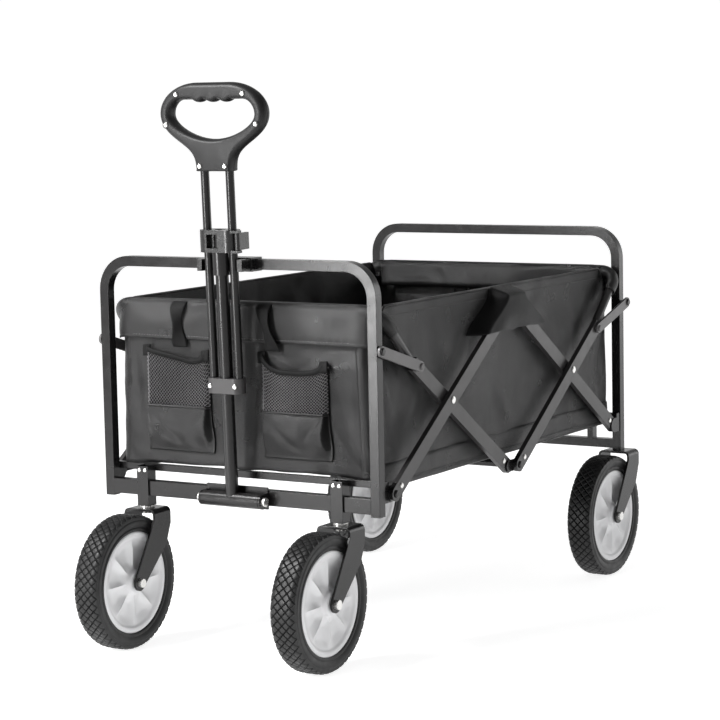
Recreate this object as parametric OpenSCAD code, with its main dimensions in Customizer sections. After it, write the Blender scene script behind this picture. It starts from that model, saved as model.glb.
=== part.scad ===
// Folding utility wagon with a fabric tub, scissor sides and a telescoping pull handle.
// X is the width, -Y is the handle end, +Z is up. The origin is on the floor, under the
// middle of the bounding box. All modules are written about the middle of the scissor
// frame and moved by at_mid().

/* [End frames] */
// Overall width of an end frame
frame_w = 480; // [440:5:520]
// Height of the end frames' top bars above the floor
frame_h = 578; // [560:1:600]
// Distance between the outer faces of the end frames
frame_len = 806; // [800:1:812]
// Side of the square frame tube
tube = 15; // [14:1:16]
// Wall of every steel tube
wall = 1.2; // [1:0.1:1.5]
// Outer radius of the bends at the top of an end frame
corner_r = 52; // [40:1:70]
// Lower end of the front posts
front_post_z = 219; // [215:1:221]
// Height of the front cross beam
beam_h = 22; // [18:1:22]
// Lower face of the front cross beam
beam_z = 221; // [221:1:224]
// Lower face of the two floor rails
rail_z = 256; // [254:1:256]

/* [Scissor sides] */
// Height of the lower pivots at the posts
pivot_z = 247; // [246:1:249]
// Distance of the lower post pivots from the middle of the frame
pivot_y = 368; // [366:1:370]
// Half the distance between the two pivots of a centre bracket
knuckle = 10; // [10:1:12]
// Rise of a long bar from its lower to its upper pivot
arm_rise = 240; // [238:1:242]
// How much further the crossing is from the centre bracket than from the post
cross_offset = 24; // [22:1:26]
// Width of a scissor bar
bar_w = 22; // [20:1:22]
// Thickness of a scissor bar
bar_t = 7.6; // [7:0.1:7.6]
// Distance along a basket bar from its lower pivot to the link
link_reach = 333; // [331:1:335]
// Height of the links' pivots on the posts
link_z = 452; // [450:1:454]
// Height of the two hem tubes of the basket
hem_z = 505; // [500:1:506]
// Radius of the round tube of the basket frames
hem_r = 7; // [6:0.5:7]

/* [Wheels] */
// Wheel diameter
wheel_d = 200; // [196:1:202]
// Width of a tyre
tyre_w = 42; // [38:1:42]
// Outer radius of a wheel's plastic hub
hub_r = 75.5; // [70:0.5:80]
// Distance of a caster's wheel centre from its swivel axis
trail = 60; // [56:1:62]
// Distance of each front swivel axis from the middle plane
front_track = 170; // [168:1:172]
// Top face of the forks
fork_top = 202; // [201.8:0.1:202]
// Thickness of the fork strap
strap = 3.5; // [3:0.5:3.5]

/* [Handle] */
// Height of the handle's pivot
barrel_z = 229; // [228:1:230]
// Distance of the handle's pivot from the middle of the frame
barrel_y = 418; // [418:1:420]
// Forward lean of the stowed handle, in degrees
lean = 2; // [1.5:0.1:2]
// Distance from the handle's pivot to the top of the clamp collar
collar_top = 393; // [390:1:394]
// Distance from the handle's pivot to the lower edge of the grip
grip_base = 476; // [470:1:490]
// Half the distance between the two grip tubes
grip_tube_x = 21.5; // [21:0.1:21.5]
// Thickness of the grip
grip_t = 25; // [22:1:28]

/* [Fabric tub] */
// Half the width of the tub, to the side panels' outer faces
tub_x = 221; // [214:1:221]
// Thickness of the tub's panels
cloth = 2.5; // [2:0.1:2.5]
// Underside of the fabric floor, on the rails
floor_z = 266.3; // [266.3:0.1:268]
// Top edge of the tub
tub_top = 512; // [512:1:513]
// Lower edge of the side panels
skirt_z = 250; // [248:1:254]

/* [Hidden] */
$fn = 48;

steel = "#2a2a2c";
plastic = "#161617";
bright = "#c9c9c6";
rubber = "#1b1b1b";
pale_plastic = "#cfcfd0";
fabric = "#2b2a2c";

half_w = frame_w / 2;
post_x = half_w - tube / 2;             // centre of a post
end_y = frame_len / 2 - tube / 2;       // centre plane of an end frame
inner_y = frame_len / 2 - tube;         // inner face of an end frame
wheel_r = wheel_d / 2;
stem = 20;                              // side of a caster stem
stem_y = end_y + 0.5;
stem_top = rail_z + 9;
front_reach = stem_y + trail + wheel_r; // foremost point, on the casters' tyres
rear_reach = stem_y - trail + wheel_r;  // rearmost point, on the rear tyres
mid_y = (front_reach - rear_reach) / 2;
rail_t = 8;                             // depth of a floor rail
rail_h = 10;
rail_top = rail_z + rail_h;
rail_y = inner_y - 2.08 - rail_t / 2;
clearance = 0.1;                        // radial gap of a pin in its hole
pin_r = 3;
bore_r = pin_r + clearance;

arm_run = pivot_y - knuckle;
bar_angle = atan2(arm_rise, arm_run);
bar_len = norm([arm_run, arm_rise]);
post_part = (bar_len - cross_offset) / 2; // post pivot to crossing
hub_part = bar_len - post_part;           // crossing to centre pivot
foot_z = pivot_z - cross_offset * sin(bar_angle);
top_z = pivot_z + arm_rise;
cap_len = 11;                             // length of a bar's plastic end
inner_x = 233;                            // centre plane of bars B and D
outer_x = 243;                            // centre plane of bars A and C
mid_x = (inner_x + outer_x) / 2;          // plane of the bracket plates
plate_t = 1.6;
head_h = 2.2;
link_t = 3.6;
link_r = 8;
link_x = half_w + 1.2 + link_t / 2;       // front links, outside the posts
rear_link_x = outer_x + bar_t / 2 + 1.2 + link_t / 2;
hem_y = inner_y - 10;
round_in = 2.6;                           // the round tube is this far inside its bars' plane
hem_bend = 30;
knee_y = -knuckle - link_reach * cos(bar_angle);
knee_z = foot_z + link_reach * sin(bar_angle);
tail_angle = atan2(hem_z - knee_z, hem_y + knee_y);
tail_len = norm([hem_y + knee_y, hem_z - knee_z]);
panel_y = inner_y - 1.5;                  // inner face of an end panel

rear_beam_z = fork_top + 3;
fork_gap = tyre_w / 2 + 3.5;
axle_r = 4;
hub_half = 22;

// ---- placing and repeating ----

module at_mid() { translate([0, mid_y, 0]) children(); }
module both_sides() {
    children();
    mirror([1, 0, 0]) children();
}
module left_side() { mirror([1, 0, 0]) children(); }
module flip_y() { mirror([0, 1, 0]) children(); }

// Turns a shape drawn in the X-Y plane so that its Y runs along +Z and it grows along X.
module in_side_plane(x, t) {
    translate([x - t / 2, 0, 0]) rotate([90, 0, 90]) linear_extrude(t) children();
}
module x_rod(x0, x1, r) {
    translate([x0, 0, 0]) rotate([0, 90, 0]) cylinder(r = r, h = x1 - x0);
}
module at_side(y, z) { translate([0, y, z]) children(); }

// Square or rectangular tube section.
module ring(w, h) {
    difference() {
        square([w, h], center = true);
        square([w - 2 * wall, h - 2 * wall], center = true);
    }
}
module x_tube(len, depth, height) {
    rotate([90, 0, 90]) linear_extrude(len, center = true) ring(depth, height);
}
module dome_head(r, h) {
    cylinder(r = r, h = h * 0.5);
    translate([0, 0, h * 0.5]) cylinder(r1 = r, r2 = r * 0.7, h = h * 0.5);
}

// ---- end frames ----

// Bent square tube: two posts, two bends and a top bar. Drawn at y = 0.
module end_frame(post_z) {
    both_sides() {
        translate([post_x, 0, post_z])
            linear_extrude(frame_h - corner_r - post_z) ring(tube, tube);
        translate([half_w - corner_r, 0, frame_h - corner_r])
            rotate([90, 0, 0]) rotate_extrude(angle = 90)
                translate([corner_r - tube / 2, 0]) ring(tube, tube);
    }
    translate([0, 0, frame_h - tube / 2]) x_tube(frame_w - 2 * corner_r, tube, tube);
}
module front_frame() {
    color(steel) at_mid() translate([0, -end_y, 0]) end_frame(front_post_z);
}
module rear_frame() {
    color(steel) at_mid() translate([0, end_y, 0]) end_frame(fork_top);
}

// Front cross beam in three lengths, welded between the posts and the caster stems.
module front_beam() {
    middle = 2 * front_track - stem;
    side = half_w - tube - front_track - stem / 2;
    color(steel) at_mid() translate([0, -end_y, beam_z + beam_h / 2]) {
        x_tube(middle, tube, beam_h);
        both_sides()
            translate([front_track + stem / 2 + side / 2, 0, 0])
                x_tube(side, tube, beam_h);
    }
}
module rear_beam() {
    color(steel) at_mid() translate([0, end_y, rear_beam_z + tube / 2])
        x_tube(frame_w - 2 * tube, tube, tube);
}

// Floor rails: the fabric floor rests on them.
module floor_rail() {
    translate([0, rail_y, rail_z + rail_h / 2])
        x_tube(2 * (mid_x - plate_t / 2), rail_t, rail_h);
}
module front_rail() { color(steel) at_mid() flip_y() floor_rail(); }
module rear_rail() {
    standoff_x = 188;
    color(steel) at_mid() {
        floor_rail();
        both_sides()
            translate([standoff_x - 5, rail_y - rail_t / 2, rear_beam_z + tube])
                cube([10, rail_t + 8, rail_z - rear_beam_z - tube]);
    }
}

module caster_stem() {
    color(steel) at_mid() translate([front_track, -stem_y, fork_top + 3])
        difference() {
            linear_extrude(stem_top - fork_top - 3) ring(stem, stem);
            for (x = [-5, 5])
                translate([x, -stem / 2 - 1, stem_top - fork_top - 9])
                    rotate([-90, 0, 0]) cylinder(r = 1.6, h = wall + 2);
        }
}
module caster_stem_left() { left_side() caster_stem(); }
module caster_stem_right() { caster_stem(); }

// Plastic plugs in the open lower ends of the front posts.
module front_post_caps() {
    plug = tube - 2 * wall - 0.2;
    color(plastic) at_mid() both_sides()
        translate([post_x, -end_y, front_post_z]) {
            translate([-tube / 2, -tube / 2, -2]) cube([tube, tube, 2]);
            translate([-plug / 2, -plug / 2, 0]) cube([plug, plug, 12]);
        }
}

// Ears welded behind the front posts for the long bars, and the links' studs.
module front_pivot_brackets() {
    color(steel) at_mid() both_sides() flip_y() {
        bracket_ear(pivot_y, pivot_z, 12, rail_top);
        at_side(pivot_y, pivot_z) stud(mid_x, outer_x + bar_t / 2);
        at_side(end_y, link_z) stud(half_w, link_x + link_t / 2);
    }
}
module rear_pivot_brackets() {
    color(steel) at_mid() both_sides() {
        bracket_ear(pivot_y, pivot_z, 12, rail_top);
        at_side(pivot_y, pivot_z) stud(mid_x, inner_x - bar_t / 2);
        at_side(end_y, link_z) stud(half_w, rear_link_x + link_t / 2);
    }
}
// Plate from a post's inner face to a pivot at (y, z), as high as top at the post.
module bracket_ear(y, z, r, top) {
    in_side_plane(mid_x, plate_t) {
        translate([y, z]) circle(r = r);
        translate([y, z - r]) square([inner_y - y, 2 * r]);
        translate([inner_y - r, z - r]) square([r, top - z + r]);
    }
}
// Headed stud from x0 to just past x1, on either side.
module stud(x0, x1) {
    way = sign(x1 - x0);
    reach = abs(x1 - x0) + 0.4;
    translate([x0, 0, 0]) rotate([0, 90 * way, 0]) {
        cylinder(r = pin_r, h = reach);
        translate([0, 0, reach]) dome_head(5.5, head_h);
    }
}

// ---- handle mounting ----

// Channel with two ears that hold the handle's barrel.
module handle_bracket() {
    ear_x = 51.7;
    ear_t = 3;
    plate_y = frame_len / 2;
    color(steel) at_mid() flip_y() difference() {
        union() {
            translate([-ear_x - ear_t / 2, plate_y, barrel_z - 13])
                cube([2 * ear_x + ear_t, 3, 32]);
            both_sides() in_side_plane(ear_x, ear_t) {
                translate([barrel_y, barrel_z]) circle(r = 11);
                translate([plate_y + 1, barrel_z - 11])
                    square([barrel_y - plate_y - 1, 22]);
            }
        }
        at_side(barrel_y, barrel_z) x_rod(-60, 60, axle_r + clearance);
    }
}

// Bright fasteners that stay with the front end: the barrel's bolt, the casters'
// kingpins and the rivets of the stems.
module front_fasteners() {
    color(bright) at_mid() {
        at_side(-barrel_y, barrel_z) {
            x_rod(-57, 57, axle_r);
            x_rod(53.4, 58.4, 6.5);
            x_rod(-58.4, -53.4, 6.5);
        }
        both_sides() {
            translate([front_track, -stem_y, 0]) {
                translate([0, 0, fork_top - strap - 5]) cylinder(r = 8, h = 4.9);
                translate([0, 0, fork_top - strap - 2]) cylinder(r = 5, h = 26);
                translate([0, 0, fork_top + 0.1]) cylinder(r = 11, h = 2.9);
            }
            for (x = [-5, 5])
                translate([front_track + x, -stem_y - stem / 2, stem_top - 6])
                    rotate([90, 0, 0]) {
                        translate([0, 0, -3]) cylinder(r = 1.5, h = 3);
                        dome_head(3, 1.6);
                    }
        }
    }
}

// Plastic saddle round the top bar with two jaws that hold the stowed handle.
module handle_clip() {
    half = 40;
    grip_z = frame_h - tube / 2;
    color(plastic) at_mid() translate([0, 0, grip_z]) {
        difference() {
            translate([-half, -end_y - tube / 2 - 9, -tube / 2 - 2.5])
                cube([2 * half, tube + 11.5, tube + 5]);
            translate([-half - 1, -end_y - tube / 2 - clearance, -tube / 2 - clearance])
                cube([2 * half + 2, tube + 2 * clearance, tube + 2 * clearance]);
        }
        both_sides()
            translate([30.5, -end_y - tube / 2 - 33, -8.5]) cube([8, 24.5, 17]);
    }
}

// ---- pull handle, drawn about its pivot and leaned forward ----

module in_handle() {
    at_mid() translate([0, -barrel_y, barrel_z]) rotate([lean, 0, 0]) children();
}
tube_r = 9.5;
barrel_r = 11;
sleeve_z = 328;
collar_z = collar_top - 32;

module handle_tube() {
    color(steel) in_handle() difference() {
        union() {
            x_rod(-49.7, 49.7, barrel_r);
            cylinder(r = tube_r, h = collar_top);
            translate([0, 0, sleeve_z]) cylinder(r = 13, h = collar_z - sleeve_z);
        }
        x_rod(-60, 60, axle_r + clearance);
        translate([0, 0, barrel_r]) cylinder(r = tube_r - 1.5, h = collar_top);
    }
}

module stadium(half_l, r) {
    for (s = [-1, 1]) translate([s * (half_l - r), 0]) circle(r = r);
    square([2 * (half_l - r), 2 * r], center = true);
}
lever_x = 37.5;
lever_y = -12;
module tube_collar() {
    color(plastic) in_handle() difference() {
        union() {
            translate([0, 0, collar_z]) linear_extrude(32) stadium(32, 15);
            for (z = [collar_z, collar_top - 3.5])
                translate([28, lever_y - 5, z]) cube([13.5, 10, 3.5]);
        }
        cylinder(r = tube_r + 0.05, h = 500);
        both_sides() translate([grip_tube_x, 0, 0]) cylinder(r = 6.4, h = 500);
        translate([-14, -20, collar_z + 6]) cube([18, 14, 20]);
        translate([lever_x, lever_y, 0]) cylinder(r = 1.7, h = 500);
    }
}
// Over-centre lever beside the collar, turning on its own upright pin.
module collar_lever() {
    color(plastic) in_handle() {
        translate([lever_x, lever_y, collar_z + 4]) {
            cylinder(r = 3.8, h = 24);
            translate([-3, 0, 0]) cube([6, 25, 24]);
        }
        translate([lever_x, lever_y, collar_z + 0.5]) cylinder(r = 1.6, h = 31);
    }
}

slide_z = 157;
module grip_tube() {
    color(steel) in_handle() translate([grip_tube_x, 0, slide_z + 6]) difference() {
        cylinder(r = 6.25, h = grip_base + 37 - slide_z - 6);
        translate([0, 0, -1]) cylinder(r = 5, h = 500);
    }
}
module grip_tube_left() { left_side() grip_tube(); }
module grip_tube_right() { grip_tube(); }

// Bracket that joins the grip tubes' lower ends and slides on the handle tube.
module slide_bracket() {
    color(steel) in_handle() translate([0, 0, slide_z]) difference() {
        linear_extrude(22) stadium(30, 12.5);
        translate([0, 0, -1]) cylinder(r = tube_r + 0.4, h = 24);
        both_sides() translate([grip_tube_x, 0, 6]) cylinder(r = 6.3, h = 20);
        both_sides() translate([grip_tube_x, -12.5, 11]) rotate([90, 0, 0])
            translate([0, 0, -6]) cylinder(r = 1.6, h = 7);
    }
}

// Grip outline, measured from the grip's lower edge.
function bezier(a, b, c, d, t) =
    pow(1 - t, 3) * a + 3 * t * pow(1 - t, 2) * b + 3 * t * t * (1 - t) * c + pow(t, 3) * d;
function bezier_run(a, b, c, d, n) = [for (i = [1 : n]) bezier(a, b, c, d, i / n)];
function ellipse_run(cx, cz, rx, rz, a0, a1, n) =
    [for (i = [0 : n]) let (a = a0 + (a1 - a0) * i / n) [cx + rx * cos(a), cz + rz * sin(a)]];
function mirrored(p) = [for (i = [len(p) - 1 : -1 : 0]) [-p[i][0], p[i][1]]];

grip_right = concat(
    ellipse_run(28, 82, 62, 44, 90, 0, 9),
    bezier_run([90, 82], [90, 62], [72, 50], [58, 41], 6),
    bezier_run([58, 41], [40, 29], [29, 22], [29, 0], 6));
hole_right = concat(
    ellipse_run(50, 81, 22, 21, 90, 0, 7),
    bezier_run([72, 81], [72, 66], [34, 46], [0, 46], 9));

module grip_outline() {
    difference() {
        polygon(concat(grip_right, mirrored(grip_right)));
        difference() {
            polygon(concat(hole_right, mirrored(hole_right)));
            for (i = [-1 : 1]) translate([23 * i, 112]) circle(r = 14);
        }
    }
}
grip_screw_spots = [[57, 110], [77, 67], [21.5, 8]];
module grip_shell(front) {
    color(plastic) in_handle() translate([0, 0, grip_base]) difference() {
        translate([0, front ? 0 : grip_t / 2, 0]) rotate([90, 0, 0])
            linear_extrude(grip_t / 2) grip_outline();
        both_sides() {
            translate([grip_tube_x, 0, -1]) cylinder(r = 6.3, h = 39);
            for (p = grip_screw_spots)
                translate([p[0], -grip_t / 2 - 1, p[1]]) rotate([-90, 0, 0])
                    cylinder(r = 1.7, h = 7);
        }
    }
}
module grip_front_shell() { grip_shell(true); }
module grip_rear_shell() { grip_shell(false); }

// Screws of the grip and rivets of the slide bracket.
module grip_screws() {
    color(bright) in_handle() both_sides() {
        for (p = grip_screw_spots)
            translate([p[0], -grip_t / 2, grip_base + p[1]]) face_screw();
        translate([grip_tube_x, -12.5, slide_z + 11]) face_screw();
    }
}
module face_screw() {
    rotate([90, 0, 0]) {
        translate([0, 0, -5.5]) cylinder(r = 1.6, h = 5.5);
        dome_head(3.4, 1.8);
    }
}

// ---- forks and wheels ----

// Side view of a fork, about its swivel axis: y forward is negative.
module fork_side() {
    half = 20;
    axle = [-trail, wheel_r];
    toe = 12;
    way = [trail - 3, 75] / norm([trail - 3, 75]);
    across = [-way[1], way[0]] * toe;
    polygon([
        [-half, fork_top], [half, fork_top], [half, fork_top - 24], [half - 12, fork_top - 54],
        axle - across, axle - toe / 2 * way, axle + across, [-half, fork_top - 14]
    ]);
    translate(axle) circle(r = toe);
}
// Front view of the bent strap.
module fork_front() {
    outer = fork_gap + strap;
    bend = 8;
    difference() {
        fork_arch(outer, fork_top, bend);
        fork_arch(fork_gap, fork_top - strap, bend - strap);
    }
}
module fork_arch(half, top, bend) {
    translate([-half, 60]) square([2 * half, top - bend - 60]);
    translate([-half + bend, top - bend - 1]) square([2 * (half - bend), bend + 1]);
    for (s = [-1, 1]) translate([s * (half - bend), top - bend]) circle(r = bend);
}
// Fork with its swivel axis on Z.
module fork(kingpin_hole) {
    difference() {
        intersection() {
            in_side_plane(0, 80) fork_side();
            rotate([90, 0, 0]) linear_extrude(300, center = true) fork_front();
        }
        at_side(-trail, wheel_r) x_rod(-60, 60, axle_r + 0.05);
        if (kingpin_hole) cylinder(r = 5.08, h = 300);
    }
}
module fork_front_right() {
    color(steel) at_mid() translate([front_track, -stem_y, 0]) fork(true);
}
module fork_front_left() { left_side() fork_front_right(); }
module rear_forks() {
    color(steel) at_mid() both_sides()
        translate([post_x, stem_y, 0]) fork(false);
}

// Axle bolt through a fork, with its head outward.
module axle() {
    out = fork_gap + strap;
    at_side(-trail, wheel_r) {
        x_rod(-out - 5, out + 1, axle_r);
        x_rod(out, out + 5, 7);
        x_rod(-out - 5.5, -out, 6.5);
    }
}
module axle_front_right() {
    color(bright) at_mid() translate([front_track, -stem_y, 0]) axle();
}
module axle_front_left() { left_side() axle_front_right(); }
module rear_axles() {
    color(bright) at_mid() both_sides() translate([post_x, stem_y, 0]) axle();
}

// Wheel parts, drawn about the wheel's centre with the axle along X.
module wheel_spin() { rotate([0, 90, 0]) rotate_extrude($fn = 96) children(); }
module tyre() {
    half = tyre_w / 2;
    color(rubber) wheel_spin() polygon([
        [hub_r, -half + 3], [hub_r + 8, -half], [wheel_r - 9, -half], [wheel_r - 3, -half + 3],
        [wheel_r, -half + 9], [wheel_r, half - 9], [wheel_r - 3, half - 3],
        [wheel_r - 9, half], [hub_r + 8, half], [hub_r, half - 3]
    ]);
}
module hub() {
    rim = tyre_w / 2 - 3;
    bore = axle_r + 0.06;
    color(pale_plastic) wheel_spin() polygon([
        [bore, -hub_half], [17, -hub_half], [20, -12], [hub_r - 8, -14], [hub_r - 5, -rim],
        [hub_r, -rim], [hub_r, rim], [hub_r - 5, rim], [hub_r - 8, 14],
        [20, 12], [17, hub_half], [bore, hub_half]
    ]);
}
module front_wheel_place() {
    at_mid() translate([front_track, -stem_y - trail, wheel_r]) children();
}
module rear_wheel_place() {
    at_mid() translate([post_x, stem_y - trail, wheel_r]) children();
}
module hub_front_right() { front_wheel_place() hub(); }
module hub_front_left() { left_side() front_wheel_place() hub(); }
module hub_rear_right() { rear_wheel_place() hub(); }
module hub_rear_left() { left_side() rear_wheel_place() hub(); }
module tyre_front_right() { front_wheel_place() tyre(); }
module tyre_front_left() { left_side() front_wheel_place() tyre(); }
module tyre_rear_right() { rear_wheel_place() tyre(); }
module tyre_rear_left() { left_side() rear_wheel_place() tyre(); }

// ---- scissor sides ----

// Local frame of a bar: its lower pivot at the origin, its length along +Y.
module along_a() { translate([0, -pivot_y, pivot_z]) rotate([bar_angle, 0, 0]) children(); }
module along_b() { translate([0, -knuckle, foot_z]) rotate([180 - bar_angle, 0, 0]) children(); }
module along_c() { flip_y() along_b() children(); }
module along_d() { flip_y() along_a() children(); }
module tail_b() { translate([0, knee_y, knee_z]) rotate([180 - tail_angle, 0, 0]) children(); }

module flat_bar(x, s0, s1) {
    translate([x, s0, 0]) rotate([-90, 0, 0]) linear_extrude(s1 - s0) ring(bar_t, bar_w);
}
module cross_hole(x, s, r) { translate([0, s, 0]) x_rod(x - bar_t, x + bar_t, r); }
cap_rivet = 18;

module long_bar(x, crossing) {
    difference() {
        flat_bar(x, cap_len, bar_len - cap_len);
        cross_hole(x, crossing, bore_r);
        for (s = [cap_rivet, bar_len - cap_rivet]) cross_hole(x, s, 2.1);
    }
}
// Bars A rise from the front posts to the top centre, outermost.
module bars_a() {
    color(steel) at_mid() both_sides() along_a() long_bar(outer_x, post_part);
}
// Bars D rise from the rear posts to the top centre, inside bars C.
module bars_d() {
    color(steel) at_mid() both_sides() along_d() long_bar(inner_x, post_part);
}

// Basket frame: two flat side bars, plugged where they meet one round tube that is
// bent to run through the tub's hem. x is the bars' plane, x_round the round tube's.
module basket_frame(x, x_round) {
    difference() {
        union() {
            both_sides() along_b() basket_bar(x);
            round_path(x_round, hem_r, -4);
        }
        round_path(x_round, hem_r - wall, 16);
    }
}
module basket_bar(x) {
    difference() {
        union() {
            flat_bar(x, cap_len, link_reach - 6);
            translate([x - bar_t / 2, link_reach - 6, -bar_w / 2]) cube([bar_t, 14, bar_w]);
        }
        cross_hole(x, hub_part, bore_r);
        cross_hole(x, cap_rivet, 2.1);
    }
}
// The round part of a basket frame as a solid of radius r, from a distance start
// past the knees.
module round_path(x_round, r, start) {
    straight = tail_len - hem_bend;
    both_sides() tail_b() {
        translate([x_round, start, 0]) rotate([-90, 0, 0]) cylinder(r = r, h = straight - start);
        translate([x_round - hem_bend, straight, 0])
            rotate_extrude(angle = 90) translate([hem_bend, 0]) rotate(90) circle(r = r);
    }
    tail_b() translate([hem_bend - x_round, tail_len, 0])
        rotate([0, 90, 0]) cylinder(r = r, h = 2 * (x_round - hem_bend));
}
module front_basket_frame() {
    color(steel) at_mid() basket_frame(inner_x, inner_x - round_in);
}
module rear_basket_frame() {
    color(steel) at_mid() flip_y() basket_frame(outer_x, outer_x - round_in);
}

// Plastic end of a bar: a round knuckle with the pivot hole and a plug in the tube.
module end_cap(x) {
    plug_t = bar_t - 2 * wall - 0.2;
    plug_w = bar_w - 2 * wall - 0.2;
    difference() {
        union() {
            x_rod(x - bar_t / 2, x + bar_t / 2, bar_w / 2);
            translate([x - bar_t / 2, 0, -bar_w / 2]) cube([bar_t, cap_len, bar_w]);
            translate([x - plug_t / 2, cap_len - 1, -plug_w / 2]) cube([plug_t, 22, plug_w]);
        }
        cross_hole(x, 0, bore_r);
        cross_hole(x, cap_rivet, 2.1);
    }
}
module long_bar_caps(x) {
    end_cap(x);
    translate([0, bar_len, 0]) rotate([180, 0, 0]) end_cap(x);
}
module end_caps_a() { color(plastic) at_mid() both_sides() along_a() long_bar_caps(outer_x); }
module end_caps_b() { color(plastic) at_mid() both_sides() along_b() end_cap(inner_x); }
module end_caps_c() { color(plastic) at_mid() both_sides() along_c() end_cap(outer_x); }
module end_caps_d() { color(plastic) at_mid() both_sides() along_d() long_bar_caps(inner_x); }

// Rivets that hold the end caps, and the crossing rivets of bars A and D.
module cap_rivet_at(x, s) {
    translate([x, s, 0]) rivet_x(bar_t, 2, 4);
}
module rivet_x(grip, shank, head) {
    rotate([0, 90, 0]) {
        cylinder(r = shank, h = grip + 0.2, center = true);
        for (s = [0, 1]) mirror([0, 0, s])
            translate([0, 0, grip / 2 + 0.1]) dome_head(head, 1.6);
    }
}
module cross_rivet(s) {
    translate([(inner_x + outer_x) / 2, s, 0])
        rivet_x(outer_x - inner_x + bar_t + 0.4, pin_r, 5.5);
}
module rivets_a() {
    color(bright) at_mid() both_sides() along_a() {
        cross_rivet(post_part);
        cap_rivet_at(outer_x, cap_rivet);
        cap_rivet_at(outer_x, bar_len - cap_rivet);
    }
}
module rivets_b() { color(bright) at_mid() both_sides() along_b() cap_rivet_at(inner_x, cap_rivet); }
module rivets_c() { color(bright) at_mid() both_sides() along_c() cap_rivet_at(outer_x, cap_rivet); }
module rivets_d() {
    color(bright) at_mid() both_sides() along_d() {
        cross_rivet(post_part);
        cap_rivet_at(inner_x, cap_rivet);
        cap_rivet_at(inner_x, bar_len - cap_rivet);
    }
}

// Plate between the bar planes with one stud outward, for bar A or C, and one
// inward, for bar B or D. outward is the Y of the outward stud.
module centre_plate(z, outward) {
    in_side_plane(mid_x, plate_t) {
        for (s = [-1, 1]) translate([s * knuckle, z]) circle(r = 9);
        translate([-knuckle, z - 9]) square([2 * knuckle, 18]);
    }
    at_side(outward, z) stud(mid_x, outer_x + bar_t / 2);
    at_side(-outward, z) stud(mid_x, inner_x - bar_t / 2);
}
module top_brackets() {
    color(steel) at_mid() both_sides() centre_plate(top_z, -knuckle);
}
// Lower centre brackets, joined by a cross tube under the tub.
module bottom_bracket() {
    color(steel) at_mid() {
        both_sides() centre_plate(foot_z, knuckle);
        at_side(knuckle - 1, foot_z) difference() {
            x_rod(-mid_x, mid_x, 6);
            x_rod(-mid_x - 1, mid_x + 1, 6 - wall);
        }
    }
}

// Short links between the posts and the basket frames.
module link_plate(y0, z0, y1, z1) {
    reach = norm([y1 - y0, z1 - z0]);
    difference() {
        translate([y0, z0]) rotate(atan2(z1 - z0, y1 - y0)) {
            circle(r = link_r);
            translate([0, -link_r]) square([reach, 2 * link_r]);
            translate([reach, 0]) circle(r = link_r);
        }
        translate([y0, z0]) circle(r = bore_r);
    }
}
module front_links() {
    color(steel) at_mid() both_sides() {
        in_side_plane(link_x, link_t) link_plate(-end_y, link_z, knee_y, knee_z);
        at_side(knee_y, knee_z) {
            x_rod(inner_x - round_in + hem_r + 0.3, link_x, 6);
            translate([link_x + link_t / 2, 0, 0]) rotate([0, 90, 0]) dome_head(5, head_h);
        }
    }
}
module rear_links() {
    spacer_x = outer_x - round_in + hem_r + 0.3;
    color(steel) at_mid() both_sides() {
        in_side_plane(rear_link_x, link_t) link_plate(end_y, link_z, -knee_y, knee_z);
        at_side(-knee_y, knee_z) {
            x_rod(spacer_x, rear_link_x, 6);
            translate([rear_link_x + link_t / 2, 0, 0]) rotate([0, 90, 0])
                dome_head(5, head_h);
        }
    }
}

// ---- fabric tub ----

module tub_floor() {
    color(fabric) at_mid() translate([-tub_x + cloth + 0.2, -panel_y + 0.2, floor_z])
        cube([2 * (tub_x - cloth - 0.2), 2 * (panel_y - 0.2), cloth]);
}
module tub_end_panels() {
    color(fabric) at_mid() for (s = [0, 1]) mirror([0, s, 0])
        translate([-tub_x + cloth + 0.2, panel_y, floor_z])
            cube([2 * (tub_x - cloth - 0.2), cloth, tub_top - floor_z]);
}
// Side panels, cut back at their top corners where the basket tubes bend inward and
// at their lower corners round the rails.
module tub_side_panels() {
    notch_y = panel_y - 48;
    notch_z = tub_top - 57;
    color(fabric) at_mid() both_sides() in_side_plane(tub_x - cloth / 2, cloth) difference() {
        translate([-panel_y + 0.7, skirt_z]) square([2 * panel_y - 1.4, tub_top - skirt_z]);
        for (s = [0, 1]) mirror([s, 0]) {
            translate([notch_y, notch_z]) square([60, 80]);
            translate([rail_y - rail_t / 2 - 1, skirt_z - 1])
                square([20, rail_top - skirt_z + 1.3]);
        }
    }
}
// Hem bands over the two hem tubes, with the webbing loops sewn on the front one.
module tub_hems() {
    band = 56;
    color(fabric) at_mid() {
        for (s = [0, 1]) mirror([0, s, 0]) {
            translate([-tub_x, panel_y + cloth + 0.2, tub_top - band])
                cube([2 * tub_x, 2, band + 2.6]);
            translate([-180, hem_y - 9.6, tub_top + 0.6])
                cube([360, panel_y + cloth + 2.2 - hem_y + 9.6, 2]);
            translate([-180, hem_y - 9.6, tub_top - 40]) cube([360, 2, 41]);
        }
        for (x = [-118, 36])
            translate([x, -panel_y - cloth - 4.4, tub_top - 67]) cube([28, 2.1, 65]);
    }
}
// Two pouches on the front panel, open at the top.
module mesh_pockets() {
    pocket_w = 112;
    pocket_x = 102;
    shift = -7;
    pocket_z = 290;
    pocket_h = 154;
    depth = 12.5;
    outer = panel_y + cloth + 0.1;
    color(fabric) at_mid() translate([shift, 0, 0]) both_sides() flip_y()
        translate([pocket_x - pocket_w / 2, outer, pocket_z]) difference() {
            cube([pocket_w, depth, pocket_h]);
            translate([2, -1, 2]) cube([pocket_w - 4, depth - 1, pocket_h]);
        }
}
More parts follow.
